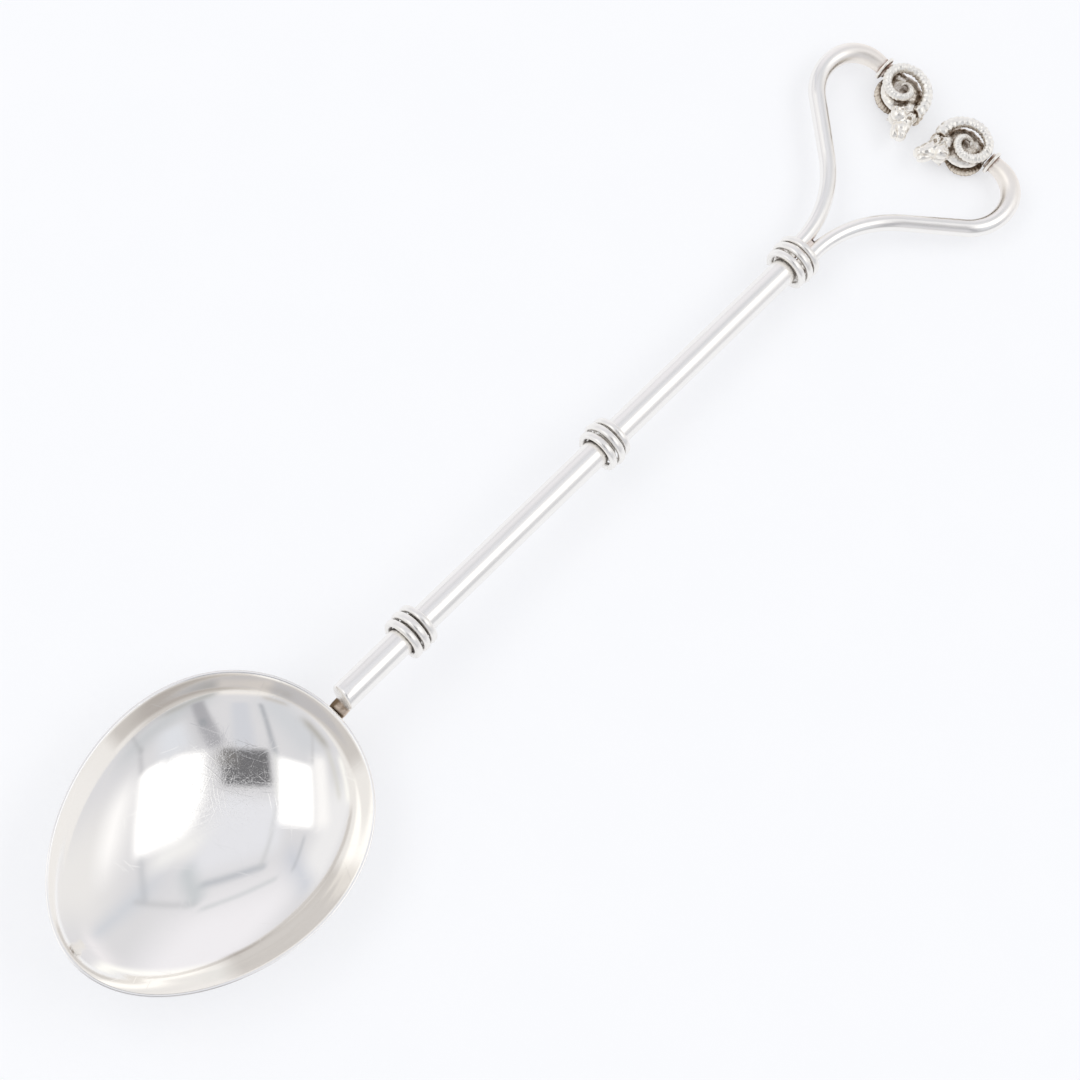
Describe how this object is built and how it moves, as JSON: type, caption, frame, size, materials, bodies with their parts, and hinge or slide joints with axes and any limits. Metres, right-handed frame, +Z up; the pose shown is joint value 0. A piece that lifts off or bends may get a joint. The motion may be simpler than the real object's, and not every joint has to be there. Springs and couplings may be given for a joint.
{
  "type": "decorative serving spoon",
  "caption": "Silver serving spoon with an egg-shaped bowl, a round rod handle bound with wire, and a heart finial ending in ram's heads.",
  "frame": {"origin": "centre of the overall box in plan, on the table", "axes": "+X from the bowl's tip to the heart, +Y to the left seen from the bowl, +Z up off the table"},
  "size_m": [0.2058, 0.0432, 0.0157],
  "materials": {
    "polished_silver": "mirror polished, with fine wiping scratches",
    "satin_silver": "soft polish, dark in the recesses",
    "oxidised_silver": "polished on the high points, brown tarnish in the grooves"
  },
  "bodies": {
    "root": {"bowl": "polished_silver", "neck_tang": "oxidised_silver", "handle_rod": "polished_silver", "lower_binding": "oxidised_silver", "middle_binding": "oxidised_silver", "upper_binding": "oxidised_silver", "left_heart_arm": "polished_silver", "left_collar": "satin_silver", "left_ram_head": "satin_silver", "left_head_upper_horn": "oxidised_silver", "left_head_lower_horn": "oxidised_silver", "right_heart_arm": "polished_silver", "right_collar": "satin_silver", "right_ram_head": "satin_silver", "right_head_upper_horn": "oxidised_silver", "right_head_lower_horn": "oxidised_silver"}
  },
  "joints": []
}
